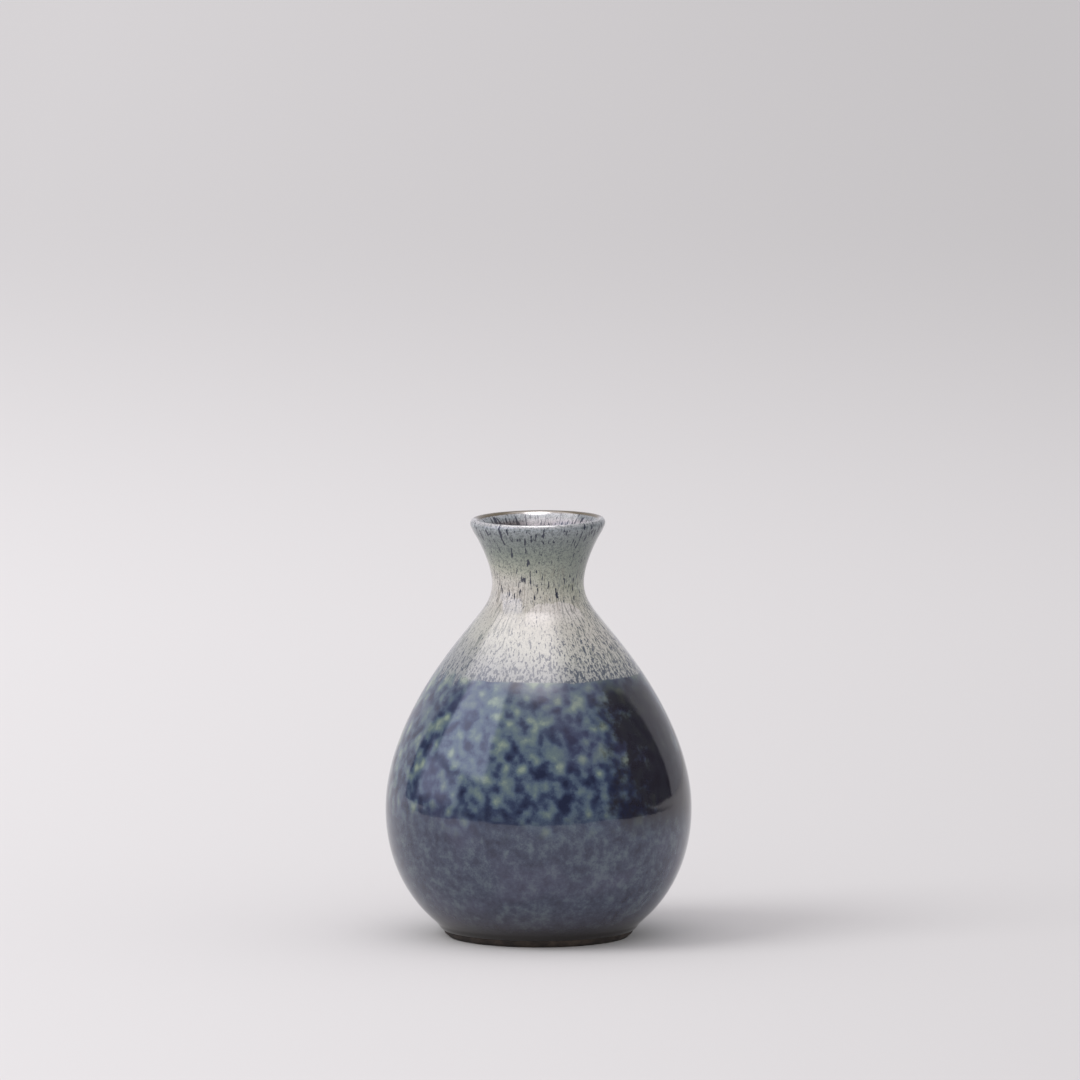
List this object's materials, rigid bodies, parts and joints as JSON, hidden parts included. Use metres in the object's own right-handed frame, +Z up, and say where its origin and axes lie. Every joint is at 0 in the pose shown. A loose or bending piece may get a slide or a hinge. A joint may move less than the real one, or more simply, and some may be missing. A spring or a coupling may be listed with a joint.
{
  "type": "sake bottle",
  "caption": "Small round-bellied stoneware sake bottle with a hollow shoulder, a narrow neck, a flared mouth with a rolled lip and a low foot ring.",
  "frame": {"origin": "centre of the foot ring, on the table that the bottle stands on", "axes": "+Z up along the bottle's axis of revolution; +X and +Y are level, and any turn about +Z looks the same apart from the pattern of the glaze; -Y is the side nearest the viewer"},
  "size_m": [0.086, 0.086, 0.118],
  "materials": {
    "stoneware_clay": "bare fired stoneware, brown, matt and slightly gritty",
    "blue_glaze": "glossy dark navy glaze mottled with soft grey-green and violet-blue spots",
    "cream_glaze": "glossy cream to grey-green glaze with small blue-grey streaks that run down the neck and shoulder",
    "inner_glaze": "glossy grey liner glaze"
  },
  "bodies": {
    "root": {"clay_body": "stoneware_clay", "blue_glaze": "blue_glaze", "cream_glaze": "cream_glaze", "inner_glaze": "inner_glaze", "well_glaze": "blue_glaze"}
  },
  "joints": []
}
